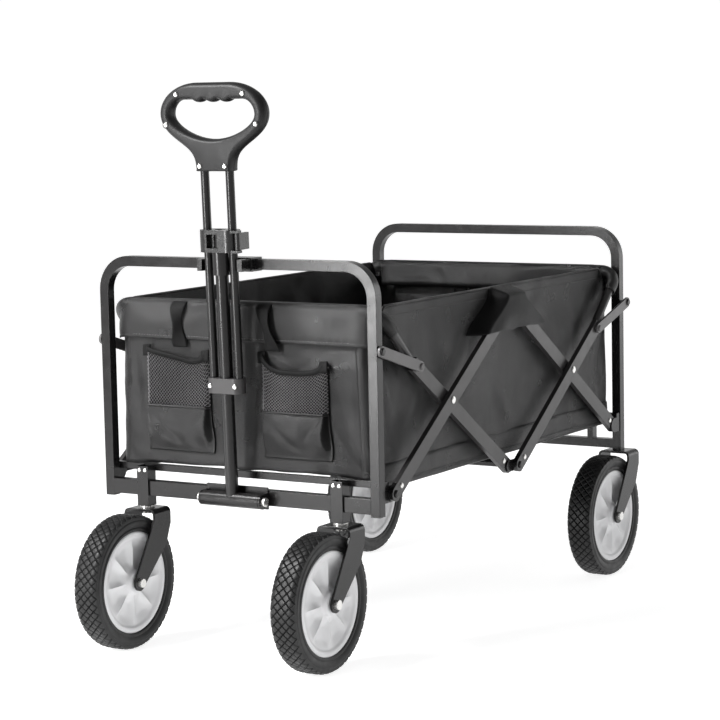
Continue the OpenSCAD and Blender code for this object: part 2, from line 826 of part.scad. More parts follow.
// Flaps that cover the upper centre joints.
module joint_covers() {
    cover_x = outer_x + bar_t / 2 + 3.7;
    cover_t = 1.8;
    color(fabric) at_mid() both_sides() {
        in_side_plane(cover_x + cover_t / 2, cover_t)
            polygon([[-105, 448], [105, 448], [38, tub_top], [-38, tub_top]]);
        translate([tub_x + 0.2, -38, tub_top - 2]) cube([cover_x + cover_t - tub_x - 0.2, 76, 2]);
    }
}

front_frame();
front_beam();
front_rail();
caster_stem_left();
caster_stem_right();
front_post_caps();
handle_bracket();
handle_clip();
front_pivot_brackets();
front_fasteners();
handle_tube();
tube_collar();
collar_lever();
grip_tube_left();
grip_tube_right();
slide_bracket();
grip_front_shell();
grip_rear_shell();
grip_screws();
fork_front_left();
fork_front_right();
axle_front_left();
axle_front_right();
hub_front_left();
hub_front_right();
tyre_front_left();
tyre_front_right();
rear_frame();
rear_beam();
rear_rail();
rear_forks();
rear_axles();
rear_pivot_brackets();
hub_rear_left();
hub_rear_right();
tyre_rear_left();
tyre_rear_right();
bars_a();
bars_d();
front_basket_frame();
rear_basket_frame();
end_caps_a();
end_caps_b();
end_caps_c();
end_caps_d();
rivets_a();
rivets_b();
rivets_c();
rivets_d();
top_brackets();
bottom_bracket();
front_links();
rear_links();
tub_floor();
tub_end_panels();
tub_side_panels();
tub_hems();
mesh_pockets();
joint_covers();
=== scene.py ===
"""Looks of the folding utility wagon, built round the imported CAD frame."""
from math import copysign, cos, exp, pi, radians, sin, sqrt

import bmesh
import bpy
import numpy as np
from mathutils import Matrix, Vector, noise


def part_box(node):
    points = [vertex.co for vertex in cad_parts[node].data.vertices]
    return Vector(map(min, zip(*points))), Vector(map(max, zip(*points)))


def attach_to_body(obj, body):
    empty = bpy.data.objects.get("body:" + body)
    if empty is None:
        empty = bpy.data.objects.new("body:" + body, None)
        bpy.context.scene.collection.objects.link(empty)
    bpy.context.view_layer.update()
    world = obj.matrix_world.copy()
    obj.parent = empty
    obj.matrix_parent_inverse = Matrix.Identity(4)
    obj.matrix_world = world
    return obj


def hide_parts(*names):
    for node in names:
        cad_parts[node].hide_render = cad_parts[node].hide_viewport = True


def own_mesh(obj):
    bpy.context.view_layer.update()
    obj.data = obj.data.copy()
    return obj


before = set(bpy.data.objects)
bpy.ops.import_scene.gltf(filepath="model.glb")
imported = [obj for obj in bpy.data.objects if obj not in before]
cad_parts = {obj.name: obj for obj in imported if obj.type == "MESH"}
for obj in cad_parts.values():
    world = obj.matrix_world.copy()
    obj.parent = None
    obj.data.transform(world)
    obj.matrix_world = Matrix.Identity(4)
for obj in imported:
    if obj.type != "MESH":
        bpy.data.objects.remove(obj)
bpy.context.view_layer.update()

# Numbers of part.scad that the fabric needs, in mm, about the middle of the scissor frame.
MID_Y = 60.0
HEM_Y, HEM_Z = 378.0, 505.0
PANEL_Y = 387.8
SIDE_X = 219.7
FLOOR_Z = 267.4
TUB_TOP = 511.0
WHEEL_R = 100.0
KNEE_Y, KNEE_Z = 286.6, 419.1
# The handle: its lean in degrees, its barrel, and the grip's base and half thickness.
LEAN, BARREL_Y, BARREL_Z, GRIP_BASE, GRIP_HALF = 2.0, 418.0, 229.0, 476.0, 12.5
MM = 0.001

# ---------------- small helpers


def to_row(points):
    """Points in mm about the frame's middle, as metres in the row frame."""
    p = np.array(points, float)
    p[..., 1] += MID_Y
    return p * MM


def smooth01(t):
    t = np.clip(t, 0, 1)
    return t * t * (3 - 2 * t)


def lump(x, y, z, scale, seed=0.0):
    """Smooth noise of about -1 to 1 at a place in mm."""
    return noise.noise(Vector((x / scale + seed, y / scale + 3.1 * seed, z / scale - seed)))


def run_lengths(path):
    """Distance along a path at each of its points."""
    return np.concatenate([[0], np.cumsum(np.linalg.norm(np.diff(path, axis=0), axis=1))])


def place(name, data):
    """A new object with that data, in the scene."""
    obj = bpy.data.objects.new(name, data)
    bpy.context.scene.collection.objects.link(obj)
    return obj


def attach(obj, body, nodes=()):
    """The object rides that body and stands for those CAD nodes."""
    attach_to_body(obj, body)
    if nodes:
        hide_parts(*nodes)


# ---------------- materials

NOISE_LOW, NOISE_HIGH = 0.25, 0.75  # the part of a noise texture's range that varies a look
BEVEL_SAMPLES = 4


def add_node(tree, kind, **inputs):
    """A node with sockets set to numbers or linked to other sockets."""
    n = tree.nodes.new(kind)
    for key, value in inputs.items():
        target = n.inputs[key.replace("_", " ")]
        if isinstance(value, bpy.types.NodeSocket):
            tree.links.new(value, target)
        else:
            target.default_value = value
    return n


def dot_with(tree, socket, direction):
    """How far a position or direction goes along one direction."""
    n = tree.nodes.new("ShaderNodeVectorMath")
    n.operation = "DOT_PRODUCT"
    n.inputs[1].default_value = direction
    tree.links.new(socket, n.inputs[0])
    return n.outputs["Value"]


class Shader:
    """A Principled material with small helpers for its node graph."""

    def __init__(self, name, colour, rough, metallic=0.0, **sockets):
        self.mat = bpy.data.materials.new(name)
        self.mat.use_nodes = True
        self.nt = self.mat.node_tree
        self.bsdf = self.nt.nodes["Principled BSDF"]
        self.colour, self.rough = colour, rough
        self.set("Base Color", (*colour, 1))
        self.set("Roughness", rough)
        self.set("Metallic", metallic)
        for key, value in sockets.items():
            self.set(key.replace("_", " "), value)
        self.height = None
        self.coords = None

    def set(self, socket, value):
        self.bsdf.inputs[socket].default_value = value

    def node(self, kind, **inputs):
        return add_node(self.nt, kind, **inputs)

    def feed(self, value, socket):
        self.nt.links.new(value, self.bsdf.inputs[socket])

    def object_coords(self):
        if self.coords is None:
            self.coords = self.node("ShaderNodeTexCoord").outputs["Object"]
        return self.coords

    def noise(self, scale, detail=3.0, rough=0.5, coords=None, distortion=0.0):
        n = self.node("ShaderNodeTexNoise", Vector=coords or self.object_coords(), Scale=scale,
                      Detail=detail, Roughness=rough, Distortion=distortion)
        return n.outputs["Fac"]

    def op(self, kind, a, b=0.0):
        n = self.node("ShaderNodeMath")
        n.operation = kind
        for socket, value in zip(n.inputs, (a, b)):
            if isinstance(value, bpy.types.NodeSocket):
                self.nt.links.new(value, socket)
            else:
                socket.default_value = value
        return n.outputs[0]

    def remap(self, value, low, high, start, end):
        """From low at start to high at end, along value."""
        n = self.node("ShaderNodeMapRange", Value=value, From_Min=start, From_Max=end,
                      To_Min=low, To_Max=high)
        return n.outputs[0]

    def vary_rough(self, value, amount):
        """Roughness within amount of its base value, along value."""
        low, high = self.rough - amount, self.rough + amount
        self.feed(self.remap(value, low, high, NOISE_LOW, NOISE_HIGH), "Roughness")

    def vary_colour(self, value, low, high):
        """Colour from low to high times the base colour, along value."""
        ramp = self.node("ShaderNodeValToRGB", Fac=value)
        stops = zip(ramp.color_ramp.elements, (NOISE_LOW, NOISE_HIGH), (low, high))
        for stop, position, factor in stops:
            stop.position = position
            stop.color = (*[min(1, c * factor) for c in self.colour], 1)
        self.feed(ramp.outputs["Color"], "Base Color")

    def bump(self, value, strength, distance):
        """Bumps of that height in metres, on top of the bumps so far."""
        n = self.node("ShaderNodeBump", Height=value, Strength=strength, Distance=distance)
        if self.height is not None:
            self.nt.links.new(self.height, n.inputs["Normal"])
        self.height = n.outputs["Normal"]
        self.feed(self.height, "Normal")

    def soft_edges(self, radius):
        n = self.node("ShaderNodeBevel", Radius=radius)
        n.samples = BEVEL_SAMPLES
        self.height = n.outputs["Normal"]
        self.feed(self.height, "Normal")


def powder_coat(name, colour, rough):
    s = Shader(name, colour, rough, Specular_IOR_Level=0.40)
    s.soft_edges(0.0012)
    s.vary_colour(s.noise(9.0, 4.0), 0.85, 1.2)
    s.vary_rough(s.noise(60.0, 4.0), 0.05)
    s.bump(s.noise(900.0, 2.0), 0.12, 0.0004)
    return s.mat


def moulded(name, colour, rough, gloss=0.5):
    s = Shader(name, colour, rough, Specular_IOR_Level=gloss)
    s.soft_edges(0.0006)
    s.vary_colour(s.noise(14.0, 3.0), 0.9, 1.12)
    s.vary_rough(s.noise(120.0, 3.0), 0.04)
    s.bump(s.noise(1400.0, 2.0), 0.10, 0.0003)
    return s.mat


def bright_steel():
    s = Shader("zinc_steel", (0.80, 0.79, 0.77), 0.26, metallic=0.85)
    s.soft_edges(0.0004)
    s.vary_rough(s.noise(500.0, 3.0), 0.07)
    s.vary_colour(s.noise(90.0, 3.0), 0.85, 1.05)
    s.bump(s.noise(700.0, 3.0), 0.08, 0.0002)
    return s.mat


def woven(name, colour, rough, pitch, sheen=0.0, depth=0.55, gloss=0.36):
    """Coated oxford cloth: a plain weave of that pitch along the cloth's own two directions."""
    s = Shader(name, colour, rough, Sheen_Weight=sheen, Sheen_Roughness=0.45,
               Sheen_Tint=(0.75, 0.73, 0.74, 1), Specular_IOR_Level=gloss)
    attribute = s.node("ShaderNodeAttribute")
    attribute.attribute_name = "cloth"
    cloth = s.node("ShaderNodeSeparateXYZ", Vector=attribute.outputs["Vector"])
    turn = 2 * pi / pitch
    across = s.op("SINE", s.op("MULTIPLY", cloth.outputs[0], turn))
    along = s.op("SINE", s.op("MULTIPLY", cloth.outputs[1], turn))
    weave = s.op("MULTIPLY", across, along)
    slub = s.noise(260.0, 3.0, coords=attribute.outputs["Vector"])
    s.vary_colour(s.op("ADD", s.noise(5.0, 4.0), s.op("MULTIPLY", weave, 0.06)), 0.82, 1.2)
    s.vary_rough(s.noise(22.0, 4.0), 0.06)
    s.bump(s.noise(6.0, 1.2, 0.4, distortion=0.6), 0.9, 0.050)
    s.bump(s.noise(26.0, 2.0, 0.5), 0.35, 0.0026)
    s.bump(slub, 0.20, 0.0004)
    s.bump(weave, depth, 0.00022)
    return s.mat


def rubber():
    s = Shader("tyre_rubber", (0.007, 0.007, 0.0072), 0.46, Specular_IOR_Level=0.34)
    s.vary_colour(s.noise(30.0, 4.0), 0.75, 1.5)
    s.vary_rough(s.noise(80.0, 4.0), 0.09)
    s.bump(s.noise(650.0, 3.0), 0.22, 0.0005)
    return s.mat


def hub_grey():
    s = Shader("hub_pale", (0.69, 0.69, 0.70), 0.38, Coat_Weight=0.1, Coat_Roughness=0.2)
    s.vary_colour(s.noise(12.0, 3.0), 0.94, 1.04)
    s.vary_rough(s.noise(150.0, 3.0), 0.05)
    s.bump(s.noise(500.0, 3.0), 0.06, 0.0004)
    return s.mat


def thread():
    s = Shader("stitch_thread", (0.05, 0.048, 0.05), 0.5, Sheen_Weight=0.3)
    s.bump(s.noise(2500.0, 2.0), 0.3, 0.0002)
    return s.mat


M = {
    "frame_steel": powder_coat("frame_powder", (0.006, 0.0056, 0.0058), 0.24),
    "bar_steel": powder_coat("bar_powder", (0.032, 0.0305, 0.031), 0.34),
    "black_plastic": moulded("black_plastic", (0.006, 0.0058, 0.006), 0.26),
    "grip_plastic": moulded("grip_plastic", (0.008, 0.0078, 0.008), 0.46, gloss=0.30),
    "fastener_steel": bright_steel(),
    "hub_plastic": hub_grey(),
    "tyre": rubber(),
    "tub_fabric": woven("tub_cloth", (0.0058, 0.0055, 0.0057), 0.31, 0.0013),
    "mesh": woven("net_yarn", (0.13, 0.127, 0.13), 0.42, 0.0006, sheen=0.2),
    "cover_fabric": woven("cover_cloth", (0.0022, 0.0021, 0.0022), 0.42, 0.0013, gloss=0.17),
    "thread": thread(),
    "webbing": woven("webbing", (0.004, 0.0039, 0.004), 0.60, 0.0022, depth=0.8, gloss=0.16),
    "link_steel": powder_coat("link_powder", (0.085, 0.082, 0.083), 0.34),
}

# ---------------- mesh helpers


def shaded(name, mesh, slots, smooth=True, crease=None):
    """An object of a mesh, with its materials, smooth but for edges sharper than crease."""
    mesh.polygons.foreach_set("use_smooth", [smooth] * len(mesh.polygons))
    for s in slots:
        mesh.materials.append(M[s])
    mesh.update()
    if crease is not None:
        mesh.set_sharp_from_angle(angle=radians(crease))
    return place(name, mesh)


def make(name, verts, faces, slots, cloth=None, **shading):
    """An object of points and faces, with cloth coordinates for the weave."""
    mesh = bpy.data.meshes.new(name)
    mesh.from_pydata([tuple(v) for v in verts], [], [tuple(int(i) for i in f) for f in faces])
    if cloth is not None:
        attribute = mesh.attributes.new("cloth", "FLOAT_VECTOR", "POINT")
        attribute.data.foreach_set("vector", np.asarray(cloth, np.float32).ravel())
    return shaded(name, mesh, slots, **shading)


def fix_normals(obj, weld=None):
    """Turns every face outwards, after joining points closer than weld."""
    bm = bmesh.new()
    bm.from_mesh(obj.data)
    if weld is not None:
        bmesh.ops.remove_doubles(bm, verts=bm.verts, dist=weld)
    bmesh.ops.recalc_face_normals(bm, faces=bm.faces)
    bm.to_mesh(obj.data)
    bm.free()
    return obj


def grid_normals(p, closed):
    """Unit normals of a grid of points, rows by columns."""
    du = np.gradient(p, axis=1)
    if closed:
        du = (np.roll(p, -1, 1) - np.roll(p, 1, 1)) / 2
    dv = np.gradient(p, axis=0)
    n = np.cross(du, dv)
    return n / np.maximum(np.linalg.norm(n, axis=2, keepdims=True), 1e-12)


def grid_faces(rows, cols, closed, start=0, flip=False):
    faces = []
    last = cols if closed else cols - 1
    for r in range(rows - 1):
        for c in range(last):
            a, b = r * cols + c, r * cols + (c + 1) % cols
            f = [start + a, start + b, start + b + cols, start + a + cols]
            faces.append(f[::-1] if flip else f)
    return faces


def arc_coords(p):
    """Cloth coordinates of a grid: running lengths across and down, in metres."""
    u = np.zeros(p.shape[:2])
    v = np.zeros(p.shape[:2])
    u[:, 1:] = np.cumsum(np.linalg.norm(np.diff(p[len(p) // 2], axis=0), axis=1))[None, :]
    v[1:] = np.cumsum(np.median(np.linalg.norm(np.diff(p, axis=0), axis=2), axis=1))[:, None]
    return np.stack([u, v, np.zeros_like(u)], axis=2)


def sheet_mesh(name, p, thick, slots, closed=False):
    """A closed sheet of that thickness about a grid of points in row metres."""
    rows, cols = p.shape[:2]
    n = grid_normals(p, closed)
    outer, inner = p + n * thick / 2, p - n * thick / 2
    size = rows * cols
    verts = np.concatenate([outer.reshape(-1, 3), inner.reshape(-1, 3)])
    faces = grid_faces(rows, cols, closed) + grid_faces(rows, cols, closed, size, True)

    def rim(line):
        for a, b in zip(line[:-1], line[1:]):
            faces.append([a, a + size, b + size, b])

    top = list(range(cols)) + ([0] if closed else [])
    bottom = [(rows - 1) * cols + c for c in top]
    rim(top)
    rim(bottom[::-1])
    if not closed:
        rim([r * cols for r in range(rows)][::-1])
        rim([r * cols + cols - 1 for r in range(rows)])
    cloth = arc_coords(p).reshape(-1, 3)
    return fix_normals(make(name, verts, faces, slots, cloth=np.concatenate([cloth, cloth])))


def tube_mesh(name, path, radius, slots, sides=10, squash=1.0):
    """A closed tube along a path of row points, flattened along its own upright by squash."""
    path = np.asarray(path, float)
    tangent = np.gradient(path, axis=0)
    tangent /= np.linalg.norm(tangent, axis=1, keepdims=True)
    up = np.array([0, 0, 1.0])
    verts = []
    for p, t in zip(path, tangent):
        a = np.cross(t, up if abs(t[2]) < 0.9 else np.array([1.0, 0, 0]))
        a /= np.linalg.norm(a)
        b = np.cross(a, t)
        for k in range(sides):
            w = 2 * pi * k / sides
            verts.append(p + radius * (a * cos(w) + b * squash * sin(w)))
    n = len(path)
    faces = grid_faces(n, sides, True)
    faces.append(list(range(sides)))
    faces.append([(n - 1) * sides + k for k in range(sides)][::-1])
    girth = 6 * radius
    cloth = np.array([[s, k * girth / sides, 0] for s in run_lengths(path) for k in range(sides)])
    return fix_normals(make(name, verts, faces, slots, cloth=cloth, crease=50))


def stitches(name, runs, length=0.0034, gap=0.0016, width=0.0007):
    """Short raised stitches along runs of (points, outward normals) in row metres."""
    verts, faces = [], []
    sunk, rise = 0.0003, 0.0005
    for points, out in runs:
        points, out = np.asarray(points, float), np.asarray(out, float)
        steps = run_lengths(points)
        s = gap
        while s + length < steps[-1]:
            ends = []
            for q in (s, s + length / 2, s + length):
                p = [np.interp(q, steps, points[:, k]) for k in range(3)]
                o = np.array([np.interp(q, steps, out[:, k]) for k in range(3)])
                ends.append((np.array(p), o / np.linalg.norm(o)))
            t = ends[2][0] - ends[0][0]
            t /= np.linalg.norm(t)
            first = len(verts)
            for (p, o), lift, wide in zip(ends, (0.0, rise, 0.0), (0.5, 1.0, 0.5)):
                side = np.cross(t, o) * width / 2 * wide
                high = o * (lift + 0.0002)
                verts += [p - side - o * sunk, p + side - o * sunk,
                          p + side * 0.7 + high, p - side * 0.7 + high]
            for k in (0, 4):
                for e in range(4):
                    a, b = first + k + e, first + k + (e + 1) % 4
                    faces.append([a, b, b + 4, a + 4])
            faces.append([first + k for k in range(4)][::-1])
            faces.append([first + 8 + k for k in range(4)])
            s += length + gap
    return fix_normals(make(name, verts, faces, ["thread"], smooth=False))


def ride_fold(obj, nodes=()):
    """Fabric of the tub: it goes with the top brackets."""
    attach(obj, "tub", nodes)
    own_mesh(obj)


def ride_basket(obj, side, nodes=()):
    """Fabric sewn round a basket tube: it turns with the tube."""
    attach(obj, f"{side}_basket", nodes)


# ---------------- camera, lights, floor

def aim(position, azimuth, elevation, roll):
    """A camera's matrix from its place in metres and its angles in degrees."""
    a, e, r = (radians(v) for v in (azimuth, elevation, roll))
    back = Vector((sin(a) * cos(e), -cos(a) * cos(e), sin(e)))
    right = Vector((cos(a), sin(a), 0))
    up = back.cross(right)
    x = right * cos(r) + up * sin(r)
    y = -right * sin(r) + up * cos(r)
    m = Matrix((x, y, back)).transposed().to_4x4()
    m.translation = Vector(position)
    return m


camera_data = bpy.data.cameras.new("camera")
camera_data.sensor_width = 36.0
camera_data.lens = 120.614
camera_data.clip_end = 50.0
camera = place("camera", camera_data)
camera.matrix_world = aim((1.9594, -3.2076, 0.8266), 31.381, 6.572, -1.175)
bpy.context.scene.camera = camera

world = bpy.data.worlds.new("studio")
bpy.context.scene.world = world
world.use_nodes = True
sky = world.node_tree
background = sky.nodes["Background"]
background.inputs["Strength"].default_value = 1.02
sky_way = add_node(sky, "ShaderNodeTexCoord").outputs["Generated"]
sky_axis = add_node(sky, "ShaderNodeSeparateXYZ", Vector=sky_way)
# darker overhead than at the horizon
sky_ramp = add_node(sky, "ShaderNodeValToRGB", Fac=sky_axis.outputs["Z"])
sky_ramp.color_ramp.interpolation = "EASE"
for stop, (position, grey) in zip(sky_ramp.color_ramp.elements, ((0.06, 1.0), (0.60, 0.24))):
    stop.position = position
    stop.color = (grey, grey, grey, 1)
# and darker on the camera's side than behind the wagon
sky_side = add_node(sky, "ShaderNodeMapRange", Value=dot_with(sky, sky_way, (-0.52, 0.85, 0.0)),
                    From_Min=-0.2, From_Max=0.6, To_Min=0.55, To_Max=1.0)
sky_side.interpolation_type = "SMOOTHSTEP"
sky_both = add_node(sky, "ShaderNodeVectorMath")
sky_both.operation = "SCALE"
sky.links.new(sky_ramp.outputs["Color"], sky_both.inputs[0])
sky.links.new(sky_side.outputs[0], sky_both.inputs["Scale"])
sky.links.new(sky_both.outputs[0], background.inputs["Color"])


def area_light(name, origin, target, size, power):
    light = bpy.data.lights.new(name, "AREA")
    light.shape = "RECTANGLE"
    light.size, light.size_y = size
    light.energy = power
    obj = place(name, light)
    obj.location = origin
    direction = Vector(target) - Vector(origin)
    obj.rotation_euler = direction.to_track_quat("-Z", "Y").to_euler()


area_light("key", (-0.80, -2.3, 0.92), (0.1, -0.3, 0.42), (0.35, 1.7), 56)
area_light("rim", (2.1, 3.4, 1.0), (0, 0.05, 0.38), (0.7, 1.9), 14)
area_light("top", (-0.85, -1.35, 2.1), (0, -0.35, 0.45), (0.7, 0.5), 70)
bpy.context.scene.view_settings.view_transform = "Standard"

floor_mesh = bpy.data.meshes.new("studio_floor")
floor_mesh.from_pydata([(-30, -30, 0), (30, -30, 0), (30, 30, 0), (-30, 30, 0)], [], [(0, 1, 2, 3)])
floor = place("studio_floor", floor_mesh)
paper = Shader("studio_paper", (0.60, 0.60, 0.60), 0.85, Emission_Color=(1, 1, 1, 1))
paper.vary_rough(paper.noise(3.0), 0.04)
# glows less on the camera's side, where the lights fall on it
reach = dot_with(paper.nt, paper.object_coords(), (0.52, -0.85, 0.0))
paper.feed(paper.remap(reach, 0.84, 0.55, 0.72, 1.6), "Emission Strength")
floor_mesh.materials.append(paper.mat)

# ---------------- carried-over CAD nodes

SLOT_OF_NODE = {
    "black_plastic": ["front_post_caps", *(f"end_caps_{bar}" for bar in "abcd"),
                      "tube_collar", "collar_lever", "handle_clip"],
    "fastener_steel": ["front_fasteners", *(f"rivets_{bar}" for bar in "abcd"),
                       "axle_front_left", "axle_front_right", "rear_axles", "grip_screws"],
    "bar_steel": ["bars_a", "bars_d", "front_basket_frame", "rear_basket_frame", "slide_bracket"],
    "link_steel": ["front_links", "rear_links"],
}
slot_of = {n: s for s, ns in SLOT_OF_NODE.items() for n in ns}
for n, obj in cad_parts.items():
    mat = M[slot_of.get(n, "frame_steel")]
    if not obj.material_slots:
        obj.data.materials.append(mat)
    for material_slot in obj.material_slots:
        material_slot.material = mat

# ---------------- wheels

TREAD_N = 480  # points round a tyre
DIAMONDS = 48  # diamonds of the tread round a tyre
# Half widths of the tread and of its flat part, the crown's radius, and the shoulder's drop.
TREAD_HALF, TREAD_FLAT, TREAD_CROWN, TREAD_DROP = 19.7, 10, 99.6, 3.2
GROOVE, BEVEL, RAISED = 1.7, 0.15, 0.25  # depths and height of the tread's pattern, in mm
BEAD = [(12.0, 75.5), (-12.0, 75.5)]
TYRE_SIDE = [  # right sidewall: (distance from the middle plane, radius)
    (18.0, 75.6), (18.9, 77.0), (19.2, 78.6), (18.9, 80.0), (18.3, 81.2), (18.7, 82.4),
    (19.6, 84.0), (20.4, 86.5), (20.8, 89.0), (20.7, 90.8), (20.1, 91.9), (20.3, 92.8),
]


def tyre_section():
    """Skin from left to right, then bead, as (place, radius, on the tread); the middle's index."""
    cell = 2 * pi / TREAD_N * WHEEL_R
    tread = [(k * cell, TREAD_CROWN - TREAD_DROP * max(0.0, (k * cell - TREAD_FLAT) / 10) ** 2.2)
             for k in range(int(TREAD_HALF / cell) + 1)]
    side = [(w, r) for w, r in TYRE_SIDE if r < tread[-1][1] - 1.2]
    right = [(w, r, True) for w, r in tread] + [(w, r, False) for w, r in reversed(side)]
    left = [(-w, r, t) for w, r, t in right[1:]]
    return left[::-1] + right + [(w, r, False) for w, r in BEAD], len(left)


def tread_relief(i, k, w):
    """Height of the tread's diamonds at step i round and step k across, and if it is a groove."""
    period = TREAD_N // DIAMONDS
    p, q = (i + k) % period, (i - k) % period
    if p == 0 or q == 0:
        return -GROOVE, True
    rise = RAISED if period // 2 in (p, q) and abs(w) < 18 else 0.0
    near_groove = p in (1, period - 1) or q in (1, period - 1)
    return rise - (BEVEL if near_groove else 0.0), False


def build_tyre(name, centre, body, node):
    across, middle = tyre_section()
    cols = len(across)
    verts = np.zeros((TREAD_N, cols, 3))
    low = np.zeros((TREAD_N, cols), bool)
    for i in range(TREAD_N):
        a = 2 * pi * i / TREAD_N
        for j, (w, r, is_tread) in enumerate(across):
            if is_tread:
                relief, low[i, j] = tread_relief(i, j - middle, w)
                r += relief
            verts[i, j] = (w, r * cos(a), r * sin(a))
    faces = []
    for i in range(TREAD_N):
        n = (i + 1) % TREAD_N
        for j in range(cols):
            m = (j + 1) % cols
            quad = [(i, j), (i, m), (n, m), (n, j)]
            ids = [x * cols + y for x, y in quad]
            flags = [low[x, y] for x, y in quad]
            # a quad with a groove along one diagonal is split along it
            if flags[0] and flags[2] and not flags[1] and not flags[3]:
                faces += [[ids[0], ids[1], ids[2]], [ids[0], ids[2], ids[3]]]
            elif flags[1] and flags[3] and not flags[0] and not flags[2]:
                faces += [[ids[0], ids[1], ids[3]], [ids[1], ids[2], ids[3]]]
            else:
                faces.append(ids)
    points = to_row(verts.reshape(-1, 3) + centre)
    obj = fix_normals(make(name, points, faces, ["tyre"], crease=38))
    attach(obj, body, (node,))


def build_hub(name, centre, body, node):
    """A dished disc with eight soft radial ridges, a rim and a raised boss."""
    n = 256
    ridge_depth, ripple_depth, dish_depth = 6.4, 0.5, 0.7
    stations = [(4.1, 21.8), (7.0, 21.8), (14.5, 21.6), (16.4, 20.9), (17.4, 19.0), (18.6, 15.6),
                (21.0, 14.6)]
    stations += [(r, 14.6) for r in np.linspace(24, 63, 14)]
    stations += [(65.2, 14.9), (66.6, 16.4), (68.0, 17.6), (70.5, 18.1), (73.0, 18.1),
                 (74.6, 17.6), (75.4, 16.4)]
    verts = np.zeros((2 * len(stations), n, 3))
    for i, (r, x) in enumerate(stations):
        fade = float(smooth01((r - 19) / 14) * smooth01((66 - r) / 16))
        for k in range(n):
            a = 2 * pi * k / n
            depth = ridge_depth * fade * abs(sin(4 * a)) ** 0.8
            soft = ripple_depth * fade * sin(8 * a) ** 2
            dish = dish_depth * sin(pi * min(1, max(0, (r - 20) / 46)))
            d = x - depth - soft + dish * fade
            verts[i, k] = (d, r * cos(a), r * sin(a))
            verts[2 * len(stations) - 1 - i, k] = (-d, r * cos(a), r * sin(a))
    points = to_row(verts.reshape(-1, 3) + centre)
    rows = verts.shape[0]
    faces = grid_faces(rows, n, True)
    for k in range(n):
        m = (k + 1) % n
        faces.append([k, (rows - 1) * n + k, (rows - 1) * n + m, m])
    obj = fix_normals(make(name, points, faces, ["hub_plastic"], crease=45))
    attach(obj, body, (node,))


for end in ("front", "rear"):
    for side in ("left", "right"):
        tag = f"{end}_{side}"
        lo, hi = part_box(f"tyre_{tag}")
        c = (lo + hi) * (0.5 / MM)
        centre = (c.x, c.y - MID_Y, c.z)
        build_tyre(f"treaded_tyre_{tag}", centre, f"wheel_{tag}", f"tyre_{tag}")
        build_hub(f"ribbed_hub_{tag}", centre, f"wheel_{tag}", f"hub_{tag}")

# ---------------- grip


def bezier(a, b, c, d, n):
    t = np.linspace(0, 1, n + 1)[1:, None]
    a, b, c, d = (np.array(v, float) for v in (a, b, c, d))
    return list((1 - t) ** 3 * a + 3 * t * (1 - t) ** 2 * b + 3 * t * t * (1 - t) * c + t ** 3 * d)


def ellipse(cx, cz, rx, rz, a0, a1, n):
    angles = np.radians(np.linspace(a0, a1, n + 1))
    return [np.array((cx + rx * cos(a), cz + rz * sin(a))) for a in angles]


def mirror_x(points):
    return [np.array((-p[0], p[1])) for p in reversed(points)]


def resample(points, pitch):
    """A closed loop's points at even steps of about that pitch."""
    p = np.array(points + [points[0]])
    s = run_lengths(p)
    q = np.linspace(0, s[-1], int(s[-1] / pitch), endpoint=False)
    return np.stack([np.interp(q, s, p[:, 0]), np.interp(q, s, p[:, 1])], axis=1)


def finger_edge(x):
    """Height of the hole's upper edge, which has three finger hollows of radius 14."""
    z = 102.0
    for c in (-23, 0, 23):
        if abs(x - c) < 14:
            z = min(z, 112 - sqrt(14 ** 2 - (x - c) ** 2))
    return z


def into_handle(points):
    """Points of the handle's own frame (x, y, height above its pivot) in row metres."""
    p = np.array(points, float)
    a = radians(LEAN)
    y = p[..., 1] * cos(a) - p[..., 2] * sin(a) - BARREL_Y
    z = p[..., 1] * sin(a) + p[..., 2] * cos(a) + BARREL_Z
    return to_row(np.stack([p[..., 0], y, z], axis=-1))


def grip_loops():
    """The grip's outline and its hole, in mm above the grip's base."""
    right = ellipse(28, 82, 62, 44, 90, 0, 24) + bezier((90, 82), (90, 62), (72, 50), (58, 41), 16)
    right += bezier((58, 41), (40, 29), (29, 22), (29, 0), 16)
    outer = resample(right + mirror_x(right), 2.2)
    hole = ellipse(50, 81, 22, 21, 90, 0, 16) + bezier((72, 81), (72, 66), (34, 46), (0, 46), 24)
    hole = hole + mirror_x(hole)[1:]
    top = [np.array((x, finger_edge(x))) for x in np.linspace(-49, 49, 99)]
    return outer, resample(hole + top, 1.8)


def inward(loop, solid_inside):
    """Unit normals of a loop of 2-D points, pointing into the solid."""
    t = np.roll(loop, -1, 0) - np.roll(loop, 1, 0)
    n = np.stack([-t[:, 1], t[:, 0]], axis=1)
    n /= np.linalg.norm(n, axis=1, keepdims=True)
    area = np.sum(loop[:, 0] * np.roll(loop[:, 1], -1) - np.roll(loop[:, 0], -1) * loop[:, 1])
    if (area > 0) != solid_inside:
        n = -n
    for _ in range(3):
        n = (np.roll(n, 1, 0) + 2 * n + np.roll(n, -1, 0)) / 4
    return n / np.linalg.norm(n, axis=1, keepdims=True)


